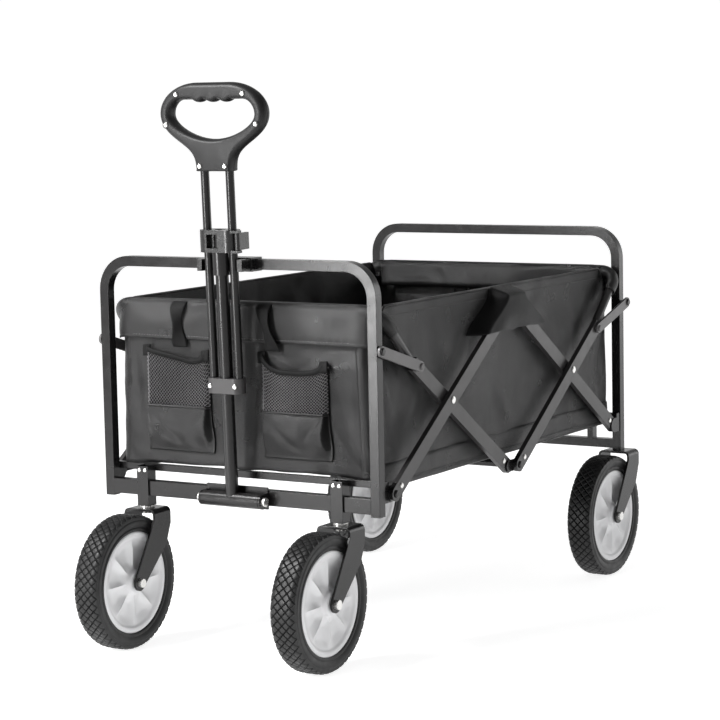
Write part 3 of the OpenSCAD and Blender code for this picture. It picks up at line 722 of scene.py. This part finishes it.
def grip_shell(name, facing, node):
    """Half of the grip, with round edges outside and a thin joint line between the halves."""
    outer, hole = grip_loops()
    joint, joint_gap, joint_inset = 0.55, 0.12, 0.7
    bm = bmesh.new()
    rims = []
    for loop, solid_inside in ((outer, True), (hole, False)):
        n = inward(loop, solid_inside)
        neck = smooth01((loop[:, 1] - 4) / 34)
        radius = 3.0 + 5.0 * neck
        if not solid_inside:
            radius = np.full(len(loop), 6.5)
        rows = []
        for k, angle in enumerate([-1] + list(np.linspace(0, 90, 9))):
            a = radians(max(angle, 0))
            inset = radius * (1 - cos(a)) + (joint_inset if k == 0 else 0.0)
            y = joint_gap if k == 0 else joint + (GRIP_HALF - joint) * sin(a)
            ring = []
            for p, m, d in zip(loop, n, inset):
                x, z = p + m * d
                z = max(z, 0.3 * (1 if k else 0))
                ring.append(bm.verts.new(into_handle((x, facing * y, z + GRIP_BASE))))
            rows.append(ring)
        for r0, r1 in zip(rows[:-1], rows[1:]):
            for i in range(len(loop)):
                j = (i + 1) % len(loop)
                bm.faces.new((r0[i], r0[j], r1[j], r1[i]))
        rims.append((rows[0], rows[-1]))
    for rings in zip(*rims):
        edges = [bm.edges.get(pair) or bm.edges.new(pair)
                 for ring in rings for pair in zip(ring, ring[1:] + ring[:1])]
        bmesh.ops.triangle_fill(bm, edges=edges, use_beauty=True)
    bmesh.ops.recalc_face_normals(bm, faces=bm.faces)
    mesh = bpy.data.meshes.new(name)
    bm.to_mesh(mesh)
    bm.free()
    attach(shaded(name, mesh, ["grip_plastic"], crease=40), "grip", (node,))


def screw_rims():
    """Raised rims of the grip's screw holes."""
    verts, faces = [], []
    major, minor, n, m = 4.3, 0.95, 32, 10
    for x, z in ((57, 110), (77, 67), (21.5, 8)):
        for s in (-1, 1):
            first = len(verts)
            for i in range(n):
                a = 2 * pi * i / n
                for k in range(m):
                    b = 2 * pi * k / m
                    r = major + minor * cos(b)
                    y = -GRIP_HALF + 0.15 - 0.75 * minor * sin(b)
                    verts.append((s * x + r * cos(a), y, GRIP_BASE + z + r * sin(a)))
            for i in range(n):
                for k in range(m):
                    a, b = first + i * m, first + (i + 1) % n * m
                    faces.append([a + k, b + k, b + (k + 1) % m, a + (k + 1) % m])
    obj = fix_normals(make("grip_screw_rims", into_handle(verts), faces, ["grip_plastic"]))
    attach(obj, "grip")


grip_shell("moulded_grip_front", -1, "grip_front_shell")
grip_shell("moulded_grip_rear", 1, "grip_rear_shell")
screw_rims()

# ---------------- fabric tub

N_END, N_SIDE, N_CORNER = 96, 150, 8  # points of the tub's plan on each wall and corner
WALL_ROWS, FLOOR_ROWS = 52, 26
FRONT, RIGHT, REAR, LEFT, CORNER = range(5)
END_TOP, CORNER_TOP = 497.0, 487.0
STITCH_POINTS = 160
EDGE_FADE = 0.08  # share of a wall's height over which its folds begin
THICK = {  # of each kind of cloth, in metres
    "shell": 0.0017, "skirt": 0.0016, "hem": 0.0015, "corner": 0.0013, "strap": 0.0014,
    # painted_shade_sheet: the dark sheet of painted shade behind each pocket's net, not a cloth of
    # the real pocket
    "pouch": 0.0014, "painted_shade_sheet": 0.0008, "tab": 0.0018, "flap": 0.0014,
}


def plan_ring(hx, hy, r):
    """A rounded rectangle's points, from the front wall round to the right, and their walls."""
    pts, wall = [], []

    def add(points, which):
        pts.extend(points)
        wall.extend([which] * len(points))

    def arc(cx, cy, a0):
        angles = [radians(a0 + 90 * (k + 0.5) / N_CORNER) for k in range(N_CORNER)]
        add([(cx + r * cos(a), cy + r * sin(a)) for a in angles], CORNER)

    xs = np.linspace(-(hx - r), hx - r, N_END)
    ys = np.linspace(-(hy - r), hy - r, N_SIDE)
    add([(x, -hy) for x in xs], FRONT)
    arc(hx - r, -hy + r, -90)
    add([(hx, y) for y in ys], RIGHT)
    arc(hx - r, hy - r, 0)
    add([(-x, hy) for x in xs], REAR)
    arc(-hx + r, hy - r, 90)
    add([(-hx, -y) for y in ys], LEFT)
    arc(-hx + r, -hy + r, 180)
    return np.array(pts), np.array(wall)


def fold(a, z, a0, z0, a1, z1, width, height):
    """A soft ridge between two places on a wall, in mm."""
    d = np.array([a1 - a0, z1 - z0], float)
    length = np.linalg.norm(d)
    t = ((a - a0) * d[0] + (z - z0) * d[1]) / length ** 2
    off = ((a - a0) * -d[1] + (z - z0) * d[0]) / length
    if not 0 < t < 1 or abs(off) > 3 * width:
        return 0.0
    return height * sin(pi * t) ** 0.7 * exp(-abs(off / width) ** 1.5)


# Folds of the walls: from (along, z), to (along, z), width and height, in mm.
FRONT_FOLDS = [
    (22, 470, 20, 262, 9, -4.0), (40, 465, 38, 300, 8, 1.4), (150, 470, 196, 268, 12, 2.4),
    (172, 460, 60, 395, 9, -1.8), (-15, 456, -50, 405, 8, 1.8), (40, 452, 85, 418, 8, 1.4),
    (120, 292, 212, 270, 7, 2.4), (150, 345, 214, 262, 9, -2.6), (60, 287, 200, 266, 9, 1.8),
    (-40, 284, -205, 268, 8, 2.4), (-206, 470, -196, 300, 6, 2.6), (-190, 440, -182, 330, 6, -2.2),
    (-210, 300, -150, 262, 7, 2.2), (206, 470, 196, 330, 7, 2.0), (-150, 478, -175, 400, 7, -1.6),
    (0, 470, -20, 300, 7, 1.5),
]
SIDE_FOLDS = [
    (-376, 470, -318, 330, 8, 2.6), (-368, 400, -330, 290, 8, -3), (-376, 488, -300, 400, 8, -2.6),
    (-352, 488, -240, 380, 10, 2.2), (374, 480, 300, 350, 9, 2.6), (376, 455, 330, 300, 9, -3.0),
    (366, 340, 290, 280, 8, 2.0), (330, 300, 380, 268, 7, -2.0), (-60, 505, -130, 380, 12, -2.6),
    (70, 505, 150, 380, 12, -2.6), (-90, 500, -170, 400, 10, 1.6), (100, 500, 190, 400, 10, 1.6),
    (-60, 296, 60, 272, 9, 1.8), (-260, 330, -120, 280, 9, -2.2), (110, 320, 250, 282, 9, -2.2),
    (-300, 290, -378, 268, 7, 2.0), (0, 420, 6, 290, 14, 1.6),
]


def wall_depth(wall, a, z, t):
    """How far a wall stands out from its flat shape, in mm."""
    middle = sin(pi * t)
    if wall in (FRONT, REAR):
        flip = 1 if wall == FRONT else -1
        d = -1.6 * middle + sum(fold(flip * a, z, *f) for f in FRONT_FOLDS)
        waves = 1.5 * lump(a, 10.0 * wall, z, 70) + 0.5 * lump(a, 5, z, 24, 2.0)
        return d + middle * waves
    flip = 1 if wall == RIGHT else 0.93
    d = 2.6 * middle + sum(fold(flip * a, z, *f) for f in SIDE_FOLDS)
    waves = 2.4 * lump(a, 40.0 * wall, z, 120) + 0.7 * lump(a, 9, z, 34, 4.0)
    return d + middle * waves


def side_top(y):
    """Height of a side wall's upper edge, which drops to the hem at both ends."""
    return TUB_TOP - 24 * float(smooth01((abs(y) - 346) / 22))


def tub_shell():
    """Four walls and a floor in one sheet, from the upper edge down and in to the middle."""
    _, wall = plan_ring(SIDE_X, PANEL_Y, 20)
    p = np.zeros((WALL_ROWS + FLOOR_ROWS, len(wall), 3))
    for row in range(WALL_ROWS):
        t = row / (WALL_ROWS - 1)
        r = 26 - 10 * t
        ring, _ = plan_ring(SIDE_X, PANEL_Y, r)
        near, _ = plan_ring(SIDE_X - 1, PANEL_Y - 1, r)
        edge = float(smooth01(t / EDGE_FADE) * smooth01((1 - t) / 0.1))
        for c, w in enumerate(wall):
            x, y = ring[c]
            top = side_top(y) if w in (RIGHT, LEFT) else CORNER_TOP if w == CORNER else END_TOP
            bottom = FLOOR_Z
            if w in (FRONT, REAR):
                shy = float(smooth01((206 - abs(x)) / 60))
                dip = 2.4 * exp(-(x / 18) ** 2)
                bottom += shy * (3.2 + 2.6 * lump(x, 11.0 * w, 0, 60, 1.0) - dip)
            z = top + (bottom - top) * t
            out = ring[c] - near[c]
            out /= max(np.linalg.norm(out), 1e-6)
            if w == CORNER:
                d = edge * 1.2 * lump(x, y, z, 30, 6.0)
            else:
                d = edge * wall_depth(w, x if w in (FRONT, REAR) else y, z, t)
            p[row, c] = (x + out[0] * d, y + out[1] * d, z)
    base = p[WALL_ROWS - 1].copy()
    spine = base.copy()
    spine[:, 0] = 0.0
    spine[:, 1] = np.clip(base[:, 1], -(PANEL_Y - SIDE_X), PANEL_Y - SIDE_X)
    level = FLOOR_Z + 0.9
    for row in range(FLOOR_ROWS):
        c = (row + 1) / FLOOR_ROWS
        q = base * (1 - c) + spine * c
        q[:, 2] = base[:, 2] * (1 - smooth01(c * 9)) + level * smooth01(c * 9)
        q[:, 2] += [0.9 * float(smooth01(c * 5)) * lump(x, y, 5, 90, 3.0) for x, y, _ in q]
        p[WALL_ROWS + row] = q
    obj = sheet_mesh("tub_shell", to_row(p), THICK["shell"], ["tub_fabric"], closed=True)
    return fix_normals(obj, weld=1e-6)


shell = tub_shell()
ride_fold(shell, nodes=("tub_floor", "tub_end_panels"))


def side_skirt(sign, name):
    """The side wall's lower edge, hanging past the floor, with its folded hem and its stitches."""
    def rise(y, z):
        return 1.2 * lump(y, 3 * sign, 9, 110, 8.0) * (286 - z) / 36

    zs = [286, 280, 274, 268, 262, 259, 257.5, 256, 253, 250.6, 250.2]
    bulge = [0.3, 0.8, 1.0, 1.0, 0.9, 0.6, 0.0, 0.7, 1.1, 0.9, 0.2]
    ys = np.linspace(-374, 374, 120)
    p = np.zeros((len(zs), len(ys), 3))
    for i, (z, b) in enumerate(zip(zs, bulge)):
        for k, y in enumerate(ys):
            wave = 0.8 * lump(y, 7 * sign, 0, 80, 5.0) * (286 - z) / 30
            p[i, k] = (sign * (SIDE_X + 1.1 + b + wave), y, z + rise(y, z))
    obj = sheet_mesh(name, to_row(p), THICK["skirt"], ["tub_fabric"])
    ride_fold(obj, nodes=("tub_side_panels",))
    seam_z = 257.5
    line = [(sign * (SIDE_X + 2.9), y, seam_z + rise(y, seam_z))
            for y in np.linspace(-370, 370, 120)]
    return to_row(line), np.tile([sign, 0, 0], (120, 1))


def side_stitches(sign):
    """A line of stitches along a side wall, just under its upper edge."""
    drop = 15.0
    z, t = TUB_TOP - drop, drop / 244
    wall, fade = RIGHT if sign > 0 else LEFT, float(smooth01(t / EDGE_FADE))
    line = [(sign * (SIDE_X + 1.1 + wall_depth(wall, y, z, t) * fade), y, z)
            for y in np.linspace(-338, 338, STITCH_POINTS)]
    return to_row(line), np.tile([sign, 0, 0], (STITCH_POINTS, 1))


stitch_runs, hem_runs = [], {}
for sign, side in ((1, "right"), (-1, "left")):
    stitch_runs.append(side_skirt(sign, f"tub_skirt_{side}"))
    top = [(sign * (SIDE_X + 0.1), y, side_top(y) - 0.3) for y in np.linspace(-362, 362, 160)]
    ride_fold(tube_mesh(f"tub_top_edge_{side}", to_row(top), 0.0021, ["tub_fabric"]))
    stitch_runs.append(side_stitches(sign))


def hem_profile():
    """Section of the hem sleeve: (distance past the tube's axis, height), outer side first."""
    outer = [(13.2, 456.0), (13.3, 459.5), (12.9, 461.0), (13.4, 463.0), (13.5, 470.0),
             (13.3, 478.0), (12.6, 486.0), (11.6, 493.0), (10.5, 499.0)]
    arc = [(9.8 * cos(radians(a)), HEM_Z + 9.6 * sin(radians(a)))
           for a in range(0, 181, 15)]
    inner = [(-9.9, 497.0), (-10.0, 488.0), (-9.8, 480.0), (-9.4, 472.0)]
    return outer + arc + inner


def hem_band(sign, name):
    """Sleeve of the tub over a hem tube, and its line of stitches. It follows both corners."""
    profile = hem_profile()
    half, turn, bend_y, bend_r, stitch_z = 194.0, 46.0, 350, 28, 460
    stations = [(x, 0.0) for x in np.linspace(-half, half, 150)]
    ends = [(half, b) for b in np.linspace(0, turn, 12)[1:]]
    stations = [(-x, -b) for x, b in reversed(ends)] + stations + ends
    p = np.zeros((len(profile), len(stations), 3))
    for j, (x0, b) in enumerate(stations):
        beta = radians(b)
        for i, (o, z) in enumerate(profile):
            low = max(0.0, (505 - z) / 49)
            wobble = 1.1 * lump(x0 + 40 * beta, 13 * sign, z, 60, 2.0)
            pucker = 0.35 * sin(x0 / 2.3 + 2 * lump(x0, 0, 0, 50))
            wobble += pucker * max(0.0, 1 - abs(z - stitch_z) / 9)
            o = o + (wobble if i < 9 else 0.25 * wobble)
            edge = 1.6 * low * lump(x0, 31 * sign, 0, 80, 4.0)
            sag = 3.5 * (abs(b) / turn) ** 2
            r = bend_r + o
            x = x0 + copysign(r * sin(abs(beta)), b) if b else x0
            y = bend_y + r * cos(beta) if b else HEM_Y + o
            p[i, j] = (x, sign * y, min(z + edge - sag, 514.6))
    obj = sheet_mesh(name, to_row(p), THICK["hem"], ["tub_fabric"])
    line = to_row(p[2]) + np.array([0, sign * 0.0009, 0])
    return obj, (line[12:-12], np.tile([0, sign, 0], (len(line) - 24, 1)))


for sign, side in ((-1, "front"), (1, "rear")):
    hem, run = hem_band(sign, f"hem_sleeve_{side}")
    hem_runs[side] = run
    ride_basket(hem, side, nodes=("tub_hems",))


def corner_sleeve(end, side, end_sign, x_sign, x_round):
    """Fabric round the bend of a basket tube, where the tube leaves the hem."""
    knee = np.array((KNEE_Y, KNEE_Z))
    way = np.array((HEM_Y, HEM_Z)) - knee
    length = np.linalg.norm(way)
    way /= length
    bend = 30.0
    path = [(x, length, 90) for x in (x_round - bend - 16, x_round - bend - 8)]
    path += [(x_round - bend + bend * cos(radians(a)),
              length - bend + bend * sin(radians(a)), a) for a in np.linspace(90, 0, 12)]
    path += [(x_round, length - bend - d, 0) for d in (4, 8, 12, 15)]
    sides = 20
    across = np.array((0, way[1], -way[0]))
    p = np.zeros((len(path), sides, 3))
    for i, (x, s, a) in enumerate(path):
        y, z = knee + way * s
        a = radians(a)
        radial = np.array((cos(a), way[0] * sin(a), way[1] * sin(a)))
        for k in range(sides):
            w = 2 * pi * k / sides
            r = 9.2 + 0.5 * lump(x + 9 * cos(w), s, 9 * sin(w), 12, 3.0)
            r += 0.5 * i / (len(path) - 1)
            q = r * (cos(w) * radial + sin(w) * across)
            p[i, k] = (x_sign * (x + q[0]), end_sign * (y + q[1]), z + q[2])
    name = f"hem_corner_{end}_{side}"
    obj = sheet_mesh(name, to_row(p), THICK["corner"], ["tub_fabric"], closed=True)
    ride_basket(obj, end)


for end_sign, end, x_round in ((-1, "front", 230.4), (1, "rear", 240.4)):
    for x_sign, side in ((1, "right"), (-1, "left")):
        corner_sleeve(end, side, end_sign, x_sign, x_round)


def loop_strap(name, x_top, x_bottom, twist, bow):
    """A sewn webbing loop, standing off the front hem."""
    rows, cols, wide = 36, 9, 25.0
    p = np.zeros((rows, cols, 3))
    for i in range(rows):
        t = i / (rows - 1)
        z = 511.5 - 66.0 * t
        x = x_top + (x_bottom - x_top) * float(smooth01(t))
        lift = bow * sin(pi * t) ** 0.8
        over = 6.0 * max(0.0, 1 - t / 0.12) ** 1.5
        angle = twist * sin(pi * t)
        for k in range(cols):
            s = (k / (cols - 1) - 0.5) * wide
            dx, dy = s * cos(angle), s * sin(angle)
            curl = 0.5 * cos(2 * pi * t + s / 7)
            y = -(392.6 + lift - over) + dy * 0.5 + 0.2 * curl
            p[i, k] = (x + dx, min(max(y, -403.0), -385.0), z + 0.15 * s * sin(angle))
    return sheet_mesh(name, to_row(p), THICK["strap"], ["webbing"])


for tag, spec in {"left": (-105, -103, 1.15, 6.0), "right": (44, 60, -0.75, 6.5)}.items():
    strap = loop_strap(f"webbing_loop_{tag}", *spec)
    ride_basket(strap, "front")

# Pockets: a full lower pouch, a net above it and a sagging elastic edge. For each, its middle,
# then places along the elastic edge as shares of its width, and the heights there.
POCKETS = {
    "left": (-109, [0, .15, .5, .75, .93, 1], [442, 437, 430, 424, 428, 443]),
    "right": (95, [0, .05, .15, .3, .6, .85, .95, 1], [443, 432, 421, 416, 415, 418, 427, 432]),
}
SEAM_Z, POUCH_LOW = 357.0, 289.5
POCKET_Y = 389.6  # distance of the pockets' flat shape from the middle
ELASTIC_POINTS = 70


def pocket_depth(t, z):
    """Place along a pocket, and how far it stands off the wall there."""
    low = float(smooth01((z - 287) / 44)) ** 0.8
    full = 12.6 * low * (1 - 0.42 * float(smooth01((z - 325) / 60)))
    half = 56 + 5.5 * exp(-((z - 304) / 26) ** 2)
    right_fold = 4 + 11 * float(smooth01((372 - z) / 70))
    x = -56 + (56 + half) * t
    left = float(smooth01((x + 56) / 6.0))
    right = float(smooth01((half - x) / right_fold))
    return x, full * left * right


def pocket_grid(centre, z_low, z_top, rows, ts):
    """A pocket's cloth from the upper edge z_top(t) down to z_low, in mm."""
    p = np.zeros((rows, len(ts), 3))
    for k, t in enumerate(ts):
        top = z_top(t)
        for i in range(rows):
            z = top + (z_low - top) * i / (rows - 1)
            x, d = pocket_depth(t, z)
            wave = 1.5 * lump(x + centre, 0, z, 22, 7.0) + 2.0 * lump(x + centre, 3, z, 48, 9.0)
            wave += fold(x, z, -50, 350, 10, 300, 7, -2.4) + fold(x, z, 50, 352, 15, 318, 6, -2.2)
            wave += fold(x, z, -30, 300, 40, 296, 7, 1.6)
            d = max(0.5, d + wave * min(1.0, d / 6))
            p[i, k] = (centre + x, -(POCKET_Y + d), z)
    return p


def bake(obj):
    """Applies every modifier on obj."""
    graph = bpy.context.evaluated_depsgraph_get()
    mesh = bpy.data.meshes.new_from_object(obj.evaluated_get(graph), depsgraph=graph)
    obj.modifiers.clear()
    obj.data = mesh


def pocket_net(tag, centre, height):
    """A lattice of diamonds turned into wires, from the seam up to height(t)."""
    steps_u, steps_v, inset = 44, 28, 1.5
    index, verts, faces = {}, [], []
    for i in range(steps_u + 1):
        for j in range(steps_v + 1):
            if (i + j) % 2:
                continue
            t = i / steps_u
            top = height(t) - inset
            z = SEAM_Z - inset + (top - SEAM_Z + inset) * j / steps_v
            x, d = pocket_depth(t, z)
            index[i, j] = len(verts)
            verts.append((centre + x, -(POCKET_Y + max(1.6, d - 0.3)), z))
    for i, j in index:
        ring = [(i, j), (i + 1, j + 1), (i, j + 2), (i - 1, j + 1)]
        if all(c in index for c in ring):
            faces.append([index[c] for c in ring])
    net = make(f"pocket_net_{tag}", to_row(verts), faces, ["mesh"], smooth=False)
    wire = net.modifiers.new("net", "WIREFRAME")
    wire.thickness = 0.0010
    wire.use_even_offset = False
    wire.use_boundary = True
    bake(net)
    return net


def pocket_tab(name, centre, t, height):
    """A small square of webbing at one end of the elastic edge."""
    z = height(t)
    x, d = pocket_depth(t, z)
    grid = [[(centre + x + (u - 2.5) * 2.7,
              -(POCKET_Y + 2.2 + d + 1.2 * sin(pi * v / 5)),
              z + 4.5 - 3.3 * v + 0.3 * u) for u in range(6)] for v in range(6)]
    return sheet_mesh(name, to_row(grid), THICK["tab"], ["webbing"])


def build_pocket(tag, centre, ts, zs):
    """Pouch with painted shade on its right face, a dark sheet of painted shade behind the net, the
    net, elastic edge, seam and two tabs of a pocket.
    """
    def softened(t):
        """Height of the elastic edge, averaged along a short stretch."""
        near = [min(max(t + s, 0), 1) for s in (-.04, -.02, 0, .02, .04)]
        return sum(float(h) for h in np.interp(near, ts, zs)) / 5

    def line(lift, height):
        """A line across the pocket, that far in front of its cloth."""
        points = []
        for t in np.linspace(0.004, 0.996, ELASTIC_POINTS):
            z = height(t)
            x, d = pocket_depth(t, z)
            points.append((centre + x, -(POCKET_Y + lift + max(0.4, d)), z))
        return to_row(points)

    across = [np.linspace(0, .06, 7), np.linspace(.08, .84, 34), np.linspace(.855, 1, 14)]
    across = np.concatenate(across)
    lower = pocket_grid(centre, POUCH_LOW, lambda t: SEAM_Z, 30, across)
    pouch = sheet_mesh(f"pocket_pouch_{tag}", to_row(lower), THICK["pouch"],
                       ["tub_fabric", "webbing"])
    for face in pouch.data.polygons:
        face.material_index = int(face.normal.x > 0.5)  # painted shade: faces turned to the right take the darker webbing cloth
    # painted shade: a dark sheet just off the wall behind the net, standing in for the shade inside
    # the pocket
    shade_sheet_points = pocket_grid(centre, SEAM_Z - 3, lambda t: softened(t) - 6, 8, across)
    shade_sheet_points[..., 1] = -(POCKET_Y + 0.3)
    painted_shade_sheet = sheet_mesh(f"pocket_painted_shade_{tag}", to_row(shade_sheet_points), THICK["painted_shade_sheet"], ["webbing"])
    net = pocket_net(tag, centre, softened)
    elastic = tube_mesh(f"pocket_elastic_{tag}", line(0.4, softened), 0.0026, ["webbing"],
                        squash=1.6)
    seam = tube_mesh(f"pocket_seam_{tag}", line(0.5, lambda t: SEAM_Z), 0.0012,
                     ["tub_fabric"], sides=8, squash=1.6)
    tabs = [pocket_tab(f"pocket_tab_{tag}_{k}", centre, t, softened)
            for k, t in ((1, 0.01), (2, 0.975))]
    ride_fold(pouch, nodes=("mesh_pockets",))
    pieces = [net, elastic, seam, painted_shade_sheet, *tabs]
    for piece, slot in zip(pieces, ["mesh"] + 5 * ["tub_fabric"]):
        ride_fold(piece)


for tag, (centre, ts, zs) in POCKETS.items():
    build_pocket(tag, centre, ts, zs)


def joint_cover(sign, name):
    """A ridged flap over the upper centre joints of one side."""
    rows, cols, far = 34, 81, 250.6
    p = np.zeros((rows, cols, 3))
    for i in range(rows):
        t = i / (rows - 1)
        z = 511.6 - 64.0 * t
        flat_half = 24 + 62 * float(smooth01((t - 0.16) / 0.95)) + 8 * t
        slope = 13 + 12 * t
        half = flat_half + slope
        out = (far - SIDE_X - 1.0) * float(smooth01(t / 0.20)) ** 0.7
        for k in range(cols):
            s = 2 * k / (cols - 1) - 1
            y = s * half
            side_fall = float(smooth01((half - abs(y)) / slope))
            x = SIDE_X + 1.0 + out * side_fall
            x -= 2.2 * max(0.0, t - 0.35) * exp(-(y / (10 + 40 * t)) ** 2)
            x += 0.8 * lump(y, z, 0, 26, 3.0) * side_fall * (1 - side_fall * 0.6)
            droop = 3.5 * t * lump(y, 0, 0, 34, 1.0) + 3.0 * t * (abs(s) ** 3)
            p[i, k] = (sign * min(x, far + 0.4), y, z - droop)
    return sheet_mesh(name, to_row(p), THICK["flap"], ["cover_fabric"])


for sign, side in ((1, "right"), (-1, "left")):
    cover = joint_cover(sign, f"joint_flap_{side}")
    ride_fold(cover, nodes=("joint_covers",))

ride_fold(stitches("tub_stitching", stitch_runs))
for side, run in hem_runs.items():
    ride_basket(stitches(f"hem_stitching_{side}", [run]), side)
